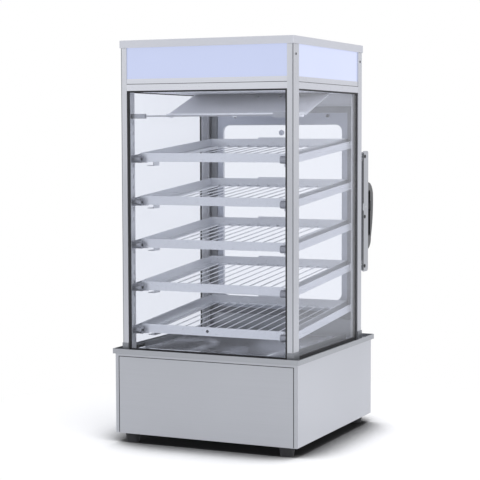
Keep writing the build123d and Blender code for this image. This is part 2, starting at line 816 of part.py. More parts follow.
# Hinges: brackets with pins on the left rear post, barrels and leaves on the door
hinge_x = -door_half_w - hinge_offset_x
hinge_y = tower_back + hinge_offset_y
hinge_zs = (door_z0 + hinge_inset_low, door_z1 - hinge_inset_top)
bore_r = hinge_pin_r + pin_clear
with BuildPart() as hinge_brackets:
    for z in hinge_zs:
        block(-tower_x, -tower_x + bracket_w, tower_back, tower_back + leaf_t, z - knuckle_h, z)
        block(hinge_x - knuckle_r / 2, hinge_x + knuckle_r / 2, tower_back, hinge_y, z - knuckle_h, z)
        rod_z(hinge_x, hinge_y, z - knuckle_h, z, knuckle_r)
        rod_z(hinge_x, hinge_y, z, z + knuckle_h, hinge_pin_r)
save(hinge_brackets, "hinge_brackets")

with BuildPart() as hinge_leaves:
    for z in hinge_zs:
        z0 = z + knuckle_gap
        z1 = z + knuckle_h
        rod_z(hinge_x, hinge_y, z0, z1, knuckle_r)
        block(hinge_x, hinge_x + leaf_w, door_y1, door_y1 + leaf_t, z0, z1)
        rod_z(hinge_x, hinge_y, z0, z1, bore_r, Mode.SUBTRACT)
save(hinge_leaves, "hinge_leaves")

# Latch case: a channel open to the back, its web on the door
with BuildPart() as latch_case:
    with BuildSketch(Plane.YZ.offset(case_x0)) as case_side:
        with Locations(((case_y0 + case_y1) / 2, (case_z0 + case_z1) / 2)):
            RectangleRounded(case_d, case_z1 - case_z0, case_end_r)
    extrude(case_side.sketch, amount=case_w)
    block(case_x0 + case_t, case_x1 - case_t, case_y0 + case_t, case_y1, case_z0, case_z1, Mode.SUBTRACT)
    for rise in case_hole_rises:
        rod_x(case_x0, case_x1, case_y0 + case_hole_y, pivot_z + rise, case_hole_r, Mode.SUBTRACT)
    rod_x(case_x0, case_x1, *pivot, lever_pin_r, Mode.SUBTRACT)
    keyhole_x = tower_x - keeper_inset - keeper_t / 2 - keyhole_side
    for z in keeper_zs:
        block(keyhole_x, case_x1 - case_t, case_y0, case_y0 + case_t,
              z - keeper_head_h / 2 - keyhole_play, z + keeper_head_h / 2 + keyhole_play, Mode.SUBTRACT)
save(latch_case, "latch_case")

with BuildPart() as lever_pin:
    rod_x(case_x0, case_x1, *pivot, lever_pin_r)
save(lever_pin, "lever_pin")

# Keepers: headed plates on the right rear post that reach into the case
keeper_x = tower_x - keeper_inset
head_y = latch_bar_y1 + keeper_gap
with BuildPart() as keepers:
    for z in keeper_zs:
        block(keeper_x - keeper_foot_w / 2, keeper_x + keeper_foot_w / 2, tower_back, tower_back + sheet,
              z - keeper_foot_h / 2, z + keeper_foot_h / 2)
        block(keeper_x - keeper_t / 2, keeper_x + keeper_t / 2, tower_back, head_y,
              z - keeper_stem_h / 2, z + keeper_stem_h / 2)
        block(keeper_x - keeper_t / 2, keeper_x + keeper_t / 2, head_y, head_y + keeper_head_d,
              z - keeper_head_h / 2, z + keeper_head_h / 2)
save(keepers, "keepers")

# Latch bar: slides in the case, notched round the keepers, with a window for the lever's nose
bar_x0 = case_mid - latch_bar_w / 2
bar_x1 = case_mid + latch_bar_w / 2
with BuildPart() as latch_bar:
    block(bar_x0, bar_x1, latch_bar_y0, latch_bar_y1, case_z0 + latch_bar_end + case_end_r,
          case_z1 - latch_bar_end)
    for z in keeper_zs:
        block(keyhole_x, bar_x1, latch_bar_y0, latch_bar_y1, z - keeper_head_h / 2 - keyhole_play,
              z + keeper_head_h / 2 + keyhole_up, Mode.SUBTRACT)
    block(case_mid - nose_w / 2 - nose_play_side, case_mid + nose_w / 2 + nose_play_side,
          latch_bar_y0, latch_bar_y1, pivot_z - nose_h / 2 - nose_play_down,
          pivot_z + nose_h / 2 + nose_play_up, Mode.SUBTRACT)
save(latch_bar, "latch_bar")

# Lever: a metal arm on the pin, with a nose into the bar, and a moulded grip
with BuildPart() as lever_arm:
    rod_x(case_mid - hub_w / 2, case_mid + hub_w / 2, *pivot, hub_r)
    block(case_mid - arm_w / 2, case_mid + arm_w / 2, pivot[0], pivot[0] + arm_reach,
          pivot_z - arm_h / 2, pivot_z + arm_h / 2)
    block(case_mid - nose_w / 2, case_mid + nose_w / 2, latch_bar_y0 + nose_tip_gap, pivot[0],
          pivot_z - nose_h / 2, pivot_z + nose_h / 2)
    rod_x(case_mid - hub_w / 2, case_mid + hub_w / 2, *pivot, lever_pin_r + lever_pin_clear, Mode.SUBTRACT)
save(lever_arm, "lever_arm")

grip_arm_y = pivot[0] + arm_reach
grip_x0 = case_mid - grip_w / 2
grip_x1 = case_mid + grip_w / 2
recess_d = grip_y1 - grip_y0 - grip_rim - grip_round
recess_h = grip_z1 - grip_z0 - 4 * grip_rim
recess_y = grip_y0 + grip_rim / 2 + recess_d / 2
recess_z = (grip_z0 + grip_z1) / 2 + grip_rim / 2

with BuildPart() as lever_grip:
    with BuildSketch(Plane.YZ.offset(grip_x0)) as grip_side:
        with BuildLine():
            inner = Line((grip_y0, grip_z0), (grip_y0, grip_z1))
            top = ThreePointArc(inner @ 1, (grip_y1 - grip_round, grip_z1 - grip_round / 2),
                                (grip_y1, grip_z1 - 2 * grip_round))
            back = ThreePointArc(top @ 1, (grip_y1 - grip_bow, pivot_z - 2 * grip_round),
                                 (grip_y1 - grip_round, grip_z0 + 2 * grip_round))
            ThreePointArc(back @ 1, (grip_y1 - 1.6 * grip_round, grip_z0 + grip_round / 2), inner @ 0)
        make_face()
    extrude(grip_side.sketch, amount=grip_w)
    for x in (grip_x0, grip_x1 - grip_recess):
        with BuildSketch(Plane.YZ.offset(x)) as recess:
            with Locations((recess_y, recess_z)):
                RectangleRounded(recess_d, recess_h, recess_r)
        extrude(recess.sketch, amount=grip_recess, mode=Mode.SUBTRACT)
    block(grip_x0, grip_x1, grip_y0, grip_arm_y,
          pivot_z - grip_window_h / 2, pivot_z + grip_window_h / 2, Mode.SUBTRACT)
save(lever_grip, "lever_grip")

# Rear controls: plate, switches, lamps, thermostat, power inlet and drain
plate_y = base_back + plate_t
with BuildPart() as control_plate:
    block(plate_x0, plate_x1, base_back, plate_y, plate_z0, plate_z1)
    fillet(control_plate.edges().filter_by(Axis.Y), radius=4.0)
    for x in switch_xs:
        block(x - rocker_w / 2 - rocker_play, x + rocker_w / 2 + rocker_play, base_back, plate_y,
              switch_z - rocker_half_h - rocker_play_z, switch_z + rocker_half_h + rocker_play_z, Mode.SUBTRACT)
    rod_y(knob_x, base_back, plate_y, knob_z, shaft_r + shaft_clear, Mode.SUBTRACT)
save(control_plate, "control_plate")

rocker_y = plate_y - rocker_sink
with BuildPart() as switch_housings:
    for x in switch_xs:
        half_w = rocker_w / 2 + rocker_play
        half_h = rocker_half_h + rocker_play_z
        block(x - half_w - housing_t, x + half_w + housing_t, base_back - housing_d, base_back,
              switch_z - half_h - housing_t, switch_z + half_h + housing_t)
        block(x - half_w, x + half_w, base_back - housing_d + housing_t, base_back,
              switch_z - half_h, switch_z + half_h, Mode.SUBTRACT)
        rod_x(x - half_w, x + half_w, rocker_y, switch_z, rocker_pin_r)
save(switch_housings, "switch_housings")

for x, label in zip(switch_xs, ("power_switch", "lamp_switch")):
    with BuildPart() as rocker:
        turn = radians(rocker_tilt)
        flat = [(rocker_wing, -rocker_half_h), (rocker_saddle, 0), (rocker_wing, rocker_half_h),
                (-rocker_back, rocker_half_h - rocker_wing), (-rocker_back, -rocker_half_h + rocker_wing)]
        side_profile(x - rocker_w / 2, x + rocker_w / 2,
                     [(rocker_y + y * cos(turn) - z * sin(turn), switch_z + y * sin(turn) + z * cos(turn))
                      for y, z in flat])
        rod_x(x - rocker_w / 2, x + rocker_w / 2, rocker_y, switch_z, rocker_pin_r + rocker_pin_clear,
              Mode.SUBTRACT)
    save(rocker, label)

with BuildPart() as indicator_lamps:
    for x in switch_xs:
        rod_y(x, plate_y, plate_y + lamp_h / 2, lamp_z, lamp_r)
        rod_y(x, plate_y + lamp_h / 2, plate_y + lamp_h, lamp_z, lamp_r - lamp_step)
save(indicator_lamps, "indicator_lamps")

body_y = base_back - sheet
with BuildPart() as thermostat_body:
    block(knob_x - thermostat_w / 2, knob_x + thermostat_w / 2, body_y - thermostat_d, body_y,
          knob_z - thermostat_h / 2, knob_z + thermostat_h / 2)
    rod_y(knob_x, body_y - shaft_l, body_y, knob_z, shaft_r + shaft_clear, Mode.SUBTRACT)
save(thermostat_body, "thermostat_body")

knob_y0 = plate_y + knob_gap
with BuildPart() as thermostat_knob:
    rod_y(knob_x, knob_y0, knob_y0 + knob_h, knob_z, knob_r)
    chamfer(thermostat_knob.edges().group_by(Axis.Y)[-1], length=knob_bevel)
    with BuildSketch(Plane.XZ.offset(-knob_y0 - flute_r)) as flutes:
        with Locations((knob_x, knob_z)):
            with PolarLocations(knob_r + flute_r / 2, knob_flutes):
                RegularPolygon(flute_r, flute_sides)
    extrude(flutes.sketch, amount=-knob_h, mode=Mode.SUBTRACT)
    rod_y(knob_x, body_y - shaft_l + knob_gap, knob_y0, knob_z, shaft_r)
save(thermostat_knob, "thermostat_knob")

with BuildPart() as power_gland:
    rod_y(gland_x, base_back, base_back + gland_l, gland_z, gland_r)
    rod_y(gland_x, base_back + gland_l - gland_bore_l, base_back + gland_l, gland_z, gland_bore_r, Mode.SUBTRACT)
save(power_gland, "power_gland")

lever_y = base_back + valve_y + valve_l / 2
lever_z = drain_z + stem_h + lever_gap
with BuildPart() as drain_pipe:
    rod_y(drain_x, drain_elbow_y, base_back + drain_l, drain_z, drain_r)
    block(drain_x - drain_r, drain_x + drain_r, drain_elbow_y - drain_r, drain_elbow_y + drain_r,
          drain_z - drain_r, drain_z + drain_r)
    rod_z(drain_x, drain_elbow_y, drain_z, tank_z0, drain_r)
    rod_y(drain_x, base_back + valve_y, base_back + valve_y + valve_l, drain_z, valve_r)
    rod_z(drain_x, lever_y, drain_z, drain_z + stem_h, stem_r)
    rod_z(drain_x, lever_y, drain_z, lever_z + lever_t, stud_r)
    rod_y(drain_x, drain_elbow_y, base_back + drain_l, drain_z, drain_bore_r, Mode.SUBTRACT)
    rod_z(drain_x, drain_elbow_y, drain_z, tank_z0, drain_bore_r, Mode.SUBTRACT)
save(drain_pipe, "drain_pipe")

with BuildPart() as drain_lever:
    with BuildSketch(Plane.XY.offset(lever_z)):
        with Locations((drain_x, lever_y)):
            Circle(lever_w / 2)
        with Locations((drain_x - lever_l / 2, lever_y)):
            SlotOverall(lever_l + lever_w, lever_w)
    extrude(amount=lever_t)
    rod_z(drain_x, lever_y, lever_z, lever_z + lever_t, stud_r + stud_clear, Mode.SUBTRACT)
save(drain_lever, "drain_lever")
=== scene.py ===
import math

import bmesh
import bpy
from mathutils import Matrix, Vector


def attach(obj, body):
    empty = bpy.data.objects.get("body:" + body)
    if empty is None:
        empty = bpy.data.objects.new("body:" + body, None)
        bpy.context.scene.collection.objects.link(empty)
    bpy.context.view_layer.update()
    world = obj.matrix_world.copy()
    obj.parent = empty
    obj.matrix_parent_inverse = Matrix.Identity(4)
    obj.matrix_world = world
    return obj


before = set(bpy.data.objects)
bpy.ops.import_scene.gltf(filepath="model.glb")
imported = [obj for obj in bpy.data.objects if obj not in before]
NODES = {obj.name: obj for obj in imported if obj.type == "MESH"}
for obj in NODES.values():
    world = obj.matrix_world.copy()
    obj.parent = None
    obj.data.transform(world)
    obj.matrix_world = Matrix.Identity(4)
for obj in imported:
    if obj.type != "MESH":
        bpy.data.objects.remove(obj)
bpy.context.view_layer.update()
MM = 0.001
SIDES = (("left", -1), ("right", 1))

BUMP_DEPTH = 0.0002
GROOVE_SHADE = 0.22
GLASS_IOR = 1.45
GLASS_CLEAR = 0.985
GLASS_ROUGH = 0.02
# Noise scale along X, Y and Z for scratches that run along one axis
SCRATCHES = {"x": (2.5, 420.0, 420.0), "y": (420.0, 2.5, 420.0), "z": (420.0, 420.0, 2.5)}


# Materials. Each is a small node tree whose roughness varies. Metal and moulded ones also vary in colour and
# have a fine bump.
def tree(name):
    mat = bpy.data.materials.new(name)
    mat.use_nodes = True
    nt = mat.node_tree
    nt.nodes.clear()
    out = nt.nodes.new("ShaderNodeOutputMaterial")
    shader = nt.nodes.new("ShaderNodeBsdfPrincipled")
    nt.links.new(shader.outputs["BSDF"], out.inputs["Surface"])
    return mat, nt, shader, out


def add(nt, kind, **values):
    """Make one node. A value whose name starts with in_ goes to the input of that name."""
    node = nt.nodes.new(kind)
    for key, value in values.items():
        if key.startswith("in_"):
            node.inputs[key[3:].replace("_", " ")].default_value = value
        else:
            setattr(node, key, value)
    return node


def stretched(nt, scale):
    coord = add(nt, "ShaderNodeTexCoord")
    mapping = add(nt, "ShaderNodeMapping", in_Scale=scale)
    nt.links.new(coord.outputs["Object"], mapping.inputs["Vector"])
    return mapping.outputs["Vector"]


def noise(nt, vector, detail, roughness):
    tex = add(nt, "ShaderNodeTexNoise", in_Scale=1.0, in_Detail=detail, in_Roughness=roughness)
    nt.links.new(vector, tex.inputs["Vector"])
    return tex.outputs["Fac"]


def ramp(nt, fac, stops):
    node = add(nt, "ShaderNodeValToRGB")
    bar = node.color_ramp
    while len(bar.elements) < len(stops):
        bar.elements.new(0.5)
    for element, (place, value) in zip(bar.elements, stops):
        element.position = place
        element.color = value if len(value) == 4 else (*value, 1.0)
    nt.links.new(fac, node.inputs["Fac"])
    return node.outputs["Color"]


def spread(nt, fac, low, high, from_low=0.3, from_high=0.7):
    node = add(nt, "ShaderNodeMapRange", in_From_Min=from_low, in_From_Max=from_high,
               in_To_Min=low, in_To_Max=high)
    nt.links.new(fac, node.inputs["Value"])
    return node.outputs["Result"]


def bump(nt, shader, height, strength):
    node = add(nt, "ShaderNodeBump", in_Strength=strength, in_Distance=BUMP_DEPTH)
    nt.links.new(height, node.inputs["Height"])
    nt.links.new(node.outputs["Normal"], shader.inputs["Normal"])


def tint(colour, factor):
    return tuple(min(1.0, c * factor) for c in colour)


def steel(name, colour, grain, rough, metallic=0.9, vary=0.05, grooves=()):
    """Brushed steel: long fine scratches along one axis over slow cloudy changes of tone.

    A groove is a dark shadow line at one level, as (level, half its height) in millimetres.
    """
    mat, nt, shader, _ = tree(name)
    scratch = noise(nt, stretched(nt, SCRATCHES[grain]), 4.0, 0.6)
    cloud = noise(nt, stretched(nt, (3.0, 3.0, 3.0)), 2.0, 0.5)
    blend = add(nt, "ShaderNodeMix", data_type="FLOAT")
    blend.inputs["Factor"].default_value = 0.5
    nt.links.new(scratch, blend.inputs["A"])
    nt.links.new(cloud, blend.inputs["B"])
    tones = [(0.3, tint(colour, 1.0 - vary)), (0.7, tint(colour, 1.0 + vary))]
    shade = ramp(nt, blend.outputs["Result"], tones)
    if grooves:
        split = add(nt, "ShaderNodeSeparateXYZ")
        nt.links.new(add(nt, "ShaderNodeTexCoord").outputs["Object"], split.inputs["Vector"])
    for level, half in grooves:
        near = add(nt, "ShaderNodeMath", operation="COMPARE")
        near.inputs[1].default_value = level * MM
        near.inputs[2].default_value = half * MM
        nt.links.new(split.outputs["Z"], near.inputs[0])
        dark = add(nt, "ShaderNodeMix", data_type="RGBA")
        nt.links.new(near.outputs["Value"], dark.inputs["Factor"])
        nt.links.new(shade, dark.inputs["A"])
        dark.inputs["B"].default_value = (*tint(colour, GROOVE_SHADE), 1.0)
        shade = dark.outputs["Result"]
    nt.links.new(shade, shader.inputs["Base Color"])
    nt.links.new(spread(nt, scratch, *rough), shader.inputs["Roughness"])
    shader.inputs["Metallic"].default_value = metallic
    bump(nt, shader, scratch, 0.12)
    return mat


def moulded(name, colour, rough, grain, strength, coat=0.0):
    """Moulded plastic or rubber with a fine pebbled skin."""
    mat, nt, shader, _ = tree(name)
    pebble = noise(nt, stretched(nt, (grain, grain, grain)), 2.0, 0.6)
    cloud = noise(nt, stretched(nt, (14.0, 14.0, 14.0)), 3.0, 0.5)
    tones = [(0.35, tint(colour, 0.82)), (0.7, tint(colour, 1.18))]
    nt.links.new(ramp(nt, cloud, tones), shader.inputs["Base Color"])
    nt.links.new(spread(nt, cloud, *rough), shader.inputs["Roughness"])
    shader.inputs["Coat Weight"].default_value = coat
    bump(nt, shader, pebble, strength)
    return mat


def pane(name, colour, haze=0.0):
    """Clear sheet glass: light passes straight through, with a thin reflection and a faint tint."""
    mat, nt, shader, out = tree(name)
    shader.inputs["Base Color"].default_value = (*colour, 1.0)
    shader.inputs["IOR"].default_value = GLASS_IOR
    smear = noise(nt, stretched(nt, (5.0, 5.0, 9.0)), 5.0, 0.6)
    nt.links.new(spread(nt, smear, GLASS_ROUGH * 0.6, GLASS_ROUGH * 2.2), shader.inputs["Roughness"])
    through = add(nt, "ShaderNodeBsdfTransparent")
    through.inputs["Color"].default_value = (*[c * GLASS_CLEAR for c in colour], 1.0)
    fresnel = add(nt, "ShaderNodeFresnel", in_IOR=GLASS_IOR)
    side = add(nt, "ShaderNodeNewGeometry")
    front = add(nt, "ShaderNodeMath", operation="SUBTRACT")
    front.inputs[0].default_value = 1.0
    nt.links.new(side.outputs["Backfacing"], front.inputs[1])
    weight = add(nt, "ShaderNodeMath", operation="MULTIPLY_ADD")
    weight.inputs[2].default_value = haze
    nt.links.new(fresnel.outputs["Fac"], weight.inputs[0])
    nt.links.new(front.outputs["Value"], weight.inputs[1])
    mix = add(nt, "ShaderNodeMixShader")
    nt.links.new(weight.outputs["Value"], mix.inputs["Fac"])
    nt.links.new(through.outputs["BSDF"], mix.inputs[1])
    nt.links.new(shader.outputs["BSDF"], mix.inputs[2])
    nt.links.new(mix.outputs["Shader"], out.inputs["Surface"])
    return mat


def glowing(name, colour, strength):
    """A translucent panel lit from behind, with a slow cloudy change of brightness."""
    mat, nt, shader, _ = tree(name)
    cloud = noise(nt, stretched(nt, (6.0, 6.0, 10.0)), 2.0, 0.5)
    shade = ramp(nt, cloud, [(0.3, tint(colour, 0.97)), (0.7, tint(colour, 1.0))])
    shader.inputs["Base Color"].default_value = (*tint(colour, 0.12), 1.0)
    nt.links.new(shade, shader.inputs["Emission Color"])
    shader.inputs["Emission Strength"].default_value = strength
    nt.links.new(spread(nt, cloud, 0.18, 0.26), shader.inputs["Roughness"])
    shader.inputs["Coat Weight"].default_value = 0.2
    return mat


# steel: name, colour, grain, roughness range, metallic, variation of tone
# moulded: name, colour, roughness range, grain of the skin, strength of its bump
M = {
    # casing and casing_side are one steel in two shades: the front's colour is painted darker and the side's
    # lighter, for how light falls on each
    "casing": steel("casing_painted_darker", (0.51, 0.52, 0.545), "x", (0.30, 0.42)),
    "casing_side": steel("casing_side_painted_lighter", (0.61, 0.62, 0.65), "y", (0.30, 0.42)),
    "tray": steel("tray_satin", (0.43, 0.44, 0.46), "x", (0.26, 0.38)),
    "door": steel("door_satin", (0.64, 0.65, 0.68), "x", (0.36, 0.46), 0.75),
    "post": steel("post_satin", (0.60, 0.61, 0.64), "z", (0.26, 0.36)),
    "cap": steel("cap_satin", (0.68, 0.69, 0.73), "x", (0.46, 0.58)),
    "rail": steel("rail_satin", (0.66, 0.67, 0.71), "x", (0.26, 0.36), grooves=[(758.8, 0.7)]),
    # The ceiling steel's colour is painted near white with little metal, as painted light for the shaded inside
    "ceiling": steel("ceiling_painted_pale", (0.86, 0.865, 0.89), "x", (0.45, 0.60), 0.15),
    "shoe": steel("shoe_dull", (0.30, 0.31, 0.33), "z", (0.35, 0.5)),
    "shelf": steel("shelf_satin", (0.76, 0.77, 0.795), "y", (0.26, 0.38), 0.8),
    "tank": steel("tank_satin", (0.88, 0.885, 0.90), "x", (0.04, 0.08), 0.9, 0.02),
    "bright": steel("bright_steel", (0.72, 0.72, 0.74), "z", (0.10, 0.18), 1.0, 0.03),
    "glass": pane("clear_glass", (0.972, 0.980, 1.0)),
    "glass_side": pane("side_glass", (0.968, 0.976, 1.0), haze=0.015),
    "light_front": glowing("light_front", (0.51, 0.565, 0.78), 0.98),
    "light_side": glowing("light_side", (0.56, 0.61, 0.82), 0.98),
    "tube": glowing("lamp_tube", (0.93, 0.94, 0.97), 1.5),
    "rubber": moulded("black_rubber", (0.012, 0.012, 0.014), (0.5, 0.7), 500.0, 0.2),
    "gasket": moulded("gasket_rubber", (0.018, 0.018, 0.02), (0.4, 0.6), 700.0, 0.2),
    "plastic": moulded("black_plastic", (0.009, 0.009, 0.010), (0.25, 0.36), 1400.0, 0.2, coat=0.35),
    "inner": steel("inner_satin", (0.72, 0.725, 0.745), "z", (0.40, 0.52), 0.45),
    "drip": steel("drip_grey", (0.42, 0.425, 0.45), "x", (0.3, 0.42)),
    "peg": steel("peg_steel", (0.34, 0.345, 0.37), "x", (0.3, 0.42)),
    "red": moulded("switch_red", (0.55, 0.02, 0.015), (0.2, 0.3), 1200.0, 0.1, coat=0.4),
    "green": moulded("switch_green", (0.03, 0.30, 0.06), (0.2, 0.3), 1200.0, 0.1, coat=0.4),
    "lens": moulded("lamp_lens", (0.85, 0.30, 0.03), (0.12, 0.2), 1200.0, 0.05, coat=0.6),
    "brass": steel("drain_brass", (0.62, 0.45, 0.18), "y", (0.25, 0.4), 1.0, 0.06),
    "seal": moulded("door_silicone", (0.34, 0.345, 0.36), (0.5, 0.65), 500.0, 0.15),
    "screw": steel("screw_steel", (0.14, 0.14, 0.15), "x", (0.2, 0.3), 1.0, 0.04),
}

LOOKS = {
    "casing": ["base_front_panel", "rear_sill", "latch_case"],
    "tray": ["deck_tray"],
    "door": ["door_frame", "header_back_panel"],
    "casing_side": ["base_casing", "base_bottom"],
    "post": ["post_front_left", "post_front_right", "post_rear_left", "post_rear_right"],
    "cap": ["top_cap"],
    "rail": ["header_frame"],
    "ceiling": ["ceiling_panel", "drip_sheet"],
    "inner": ["pilasters", "rear_header"],
    "shoe": ["post_shoes", "control_plate"],
    "shelf": ["runners_left", "runners_right", "latch_bar",
              "shelf_1", "shelf_2", "shelf_3", "shelf_4", "shelf_5"],
    "tank": ["water_tank", "heating_element"],
    "bright": ["hinge_brackets", "hinge_leaves", "keepers", "glass_button", "lever_pin", "lever_arm",
               "drain_lever"],
    "glass": ["front_glass", "door_glass"],
    "glass_side": ["left_glass", "right_glass"],
    "light_front": ["light_panel_front"],
    "light_side": ["light_panel_left", "light_panel_right", "light_batten"],
    "tube": ["lamp_tubes"],
    "rubber": ["feet"],
    "seal": ["door_seal"],
    "gasket": ["glass_gaskets"],
    "plastic": ["lever_grip", "switch_housings", "thermostat_body", "thermostat_knob", "power_gland"],
    "drip": ["drip_bar"],
    "peg": ["stop_pegs"],
    "red": ["power_switch"],
    "green": ["lamp_switch"],
    "lens": ["indicator_lamps"],
    "brass": ["drain_pipe"],
}
for look, names in LOOKS.items():
    for name in names:
        mesh = NODES[name].data
        mesh.materials.clear()
        mesh.materials.append(M[look])


# Small pieces
def link(name, bm, look, body, smooth=True):
    mesh = bpy.data.meshes.new(name)
    bm.to_mesh(mesh)
    bm.free()
    mesh.materials.append(M[look])
    obj = bpy.data.objects.new(name, mesh)
    bpy.context.scene.collection.objects.link(obj)
    if smooth:
        for face in mesh.polygons:
            face.use_smooth = True
    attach(obj, body)


def turned(bm, profile, place, axis, steps=20):
    """Revolve a profile of (radius, height) pairs round an axis through a place."""
    rot = Vector((0, 0, 1)).rotation_difference(Vector(axis)).to_matrix().to_4x4()
    where = Matrix.Translation(Vector(place)) @ rot
    rings = []
    for r, h in profile:
        ring = []
        for i in range(steps):
            a = 2 * math.pi * i / steps
            ring.append(bm.verts.new(where @ Vector((r * math.cos(a), r * math.sin(a), h))))
        rings.append(ring)
    for low, high in zip(rings, rings[1:]):
        for i in range(steps):
            bm.faces.new((low[i], low[(i + 1) % steps], high[(i + 1) % steps], high[i]))
    bm.faces.new(rings[-1])
    bm.faces.new(list(reversed(rings[0])))


def screws(name, places, axis, body, look="screw", r=2.6, h=1.3):
    """Round screw heads, each with a sunk middle. Places, radius and height are in millimetres."""
    bm = bmesh.new()
    r, h = r * MM, h * MM
    profile = [(r, -0.2 * MM), (r, 0.25 * h), (r * 0.86, 0.7 * h), (r * 0.55, 0.95 * h), (r * 0.34, h),
               (r * 0.24, 0.55 * h)]
    for place in places:
        turned(bm, profile, [c * MM for c in place], axis)
    link(name, bm, look, body)


def strip(name, corners, look, body):
    """One thin strip between two opposite corners in millimetres, with all its edges eased."""
    (x0, x1), (y0, y1), (z0, z1) = [[c * MM for c in span] for span in corners]
    bm = bmesh.new()
    verts = [bm.verts.new((x, y, z)) for x in (x0, x1) for y in (y0, y1) for z in (z0, z1)]
    for ring in ((0, 1, 3, 2), (4, 6, 7, 5), (0, 4, 5, 1), (2, 3, 7, 6), (0, 2, 6, 4), (1, 5, 7, 3)):
        bm.faces.new([verts[i] for i in ring])
    thin = min(x1 - x0, y1 - y0, z1 - z0)
    bmesh.ops.bevel(bm, geom=list(bm.edges), offset=thin * 0.2, segments=2, affect="EDGES")
    link(name, bm, look, body, False)


def pair(name, edge, ys, zs, look):
    """The same strip on the left and the right of the cabinet."""
    for word, side in SIDES:
        strip(name + "_" + word, (sorted(side * x for x in edge), ys, zs), look, "cabinet")


def across(x, y, z):
    """One place on the left and the same place on the right."""
    return [(-x, y, z), (x, y, z)]


# Screws and clips. All places are in millimetres.
for word, side in reversed(SIDES):
    screws("post_side_screws_" + word, [(side * 196.4, y, 814) for y in (-215.3, 150.0)], (side, 0, 0),
           "cabinet")

screws("door_screws", across(115, 170.5, 697) + across(118, 170.5, 246), (0, 1, 0), "door")
screws("door_clips_high", across(115, 158.8, 695), (0, -1, 0), "door", r=3.8, h=1.6)
screws("door_clips_low", across(118, 162.8, 246), (0, -1, 0), "door", r=3.4, h=1.6)
for word, side in SIDES:
    screws("pilaster_screw_" + word, [(side * 184.7, 144.6, 703.8)], (-side, 0, 0), "cabinet", r=4.0, h=1.8)
screws("shelf_1_screw", [(-11.7, -199.9, 242.0)], (0, -1, 0), "shelf_1", r=3.4, h=1.2)
screws("plate_screws", [(x, 192.3, z) for z in (71, 144) for x in (-164, -36)], (0, 1, 0), "cabinet", r=2.2)

LOWEST_PEG = 238.4
SHELF_PITCH = 90.9
PEGS = [LOWEST_PEG + SHELF_PITCH * i for i in range(5)]
for word, side in SIDES:
    screws("peg_screws_" + word, [(side * 160.8, -208.3, z) for z in PEGS], (-side, 0, 0), "cabinet",
           "rubber", 3.2, 1.2)

DRIP_SHEET_UP = (0, -0.333, 0.943)
screws("drip_sheet_screws", [(x, 31.0, 736.4) for x in (1.0, 57.0)], DRIP_SHEET_UP, "cabinet", "bright", 3.4)
# Black domes painted as the shade in three holes of the latch case
screws("case_hole_shades", [(196.3, 183.0, z) for z in (603.6, 468.0, 356.4)], (1, 0, 0), "door", "rubber", 4.3, 1.7)

# Seams and glazing beads, and dark strips painted as shade. Each face is a thin span, in millimetres, just
# proud of the solid under it.
BASE_FACE = (-240.6, -240.3)
POST_FACE = (-230.6, -230.2)
FRONT_GLASS_FACE = (-227.6, -226.7)
SIDE_GLASS_FACE = (192.8, 193.6)
CASE_FACE = (196.2, 196.7)
CASE_RECESS_SHADE = (171.0, 175.5)
BEAD_HEIGHT = (196, 744.6)

pair("front_seam", (200.6, 202.2), BASE_FACE, (21, 184.6), "gasket")
pair("post_edge_line", (194.6, 196.1), POST_FACE, (212.8, 833.8), "shoe")
pair("front_bead", (178.2, 183.3), FRONT_GLASS_FACE, BEAD_HEIGHT, "gasket")
pair("rear_bead", SIDE_GLASS_FACE, (131.5, 138.9), BEAD_HEIGHT, "gasket")
pair("side_bead_top", SIDE_GLASS_FACE, (-200.2, 138.9), (741.6, 744.8), "gasket")
strip("front_bead_top", ((-183.0, 183.0), FRONT_GLASS_FACE, (741.4, 744.8)), "gasket", "cabinet")
# A dark strip painted as the shadow under the deck lip, along the top of the base front
strip("front_lip_shadow", ((-202.2, 202.2), BASE_FACE, (183.6, 185.0)), "gasket", "cabinet")
# Dark strips painted as the shade in the recess along the latch case's front edge, broken at the pivot
strip("case_recess_shade_low", (CASE_FACE, CASE_RECESS_SHADE, (347, 482)), "gasket", "door")
strip("case_recess_shade_high", (CASE_FACE, CASE_RECESS_SHADE, (498, 612)), "gasket", "door")

# Floor: to the camera it carries a painted shadow, grey to dark where the part covers it and near it, and it
# fades to white away from the part. To other rays it is a plain grey.
bm = bmesh.new()
bmesh.ops.create_grid(bm, x_segments=1, y_segments=1, size=12.0)
mesh = bpy.data.meshes.new("floor")
bm.to_mesh(mesh)
bm.free()
floor = bpy.data.objects.new("floor", mesh)
bpy.context.scene.collection.objects.link(floor)
mat, nt, shader, out = tree("floor_painted_shadow")
SHADOW_REACH = 0.16
# Painted shadow: ambient occlusion darkens the floor's own colour near the part, for the camera only
painted_shadow = add(nt, "ShaderNodeAmbientOcclusion", in_Distance=SHADOW_REACH, samples=12)
path = add(nt, "ShaderNodeLightPath")
tone = add(nt, "ShaderNodeMix", data_type="RGBA")
nt.links.new(path.outputs["Is Camera Ray"], tone.inputs["Factor"])
tone.inputs["A"].default_value = (0.74, 0.745, 0.76, 1.0)
PAINTED_SHADOW_TONES = [(0.42, (0.012, 0.012, 0.012)), (0.60, (0.20, 0.20, 0.205)),
               (0.75, (0.74, 0.74, 0.745)), (0.90, (0.96, 0.96, 0.965))]
nt.links.new(ramp(nt, painted_shadow.outputs["AO"], PAINTED_SHADOW_TONES), tone.inputs["B"])
nt.links.new(tone.outputs["Result"], shader.inputs["Base Color"])
nt.links.new(tone.outputs["Result"], shader.inputs["Emission Color"])
shader.inputs["Emission Strength"].default_value = 0.16
shader.inputs["Roughness"].default_value = 0.9
shader.inputs["Specular IOR Level"].default_value = 0.1
glow = add(nt, "ShaderNodeEmission")
glow.inputs["Color"].default_value = (1, 1, 1, 1)
glow.inputs["Strength"].default_value = 1.0
coord = add(nt, "ShaderNodeTexCoord")
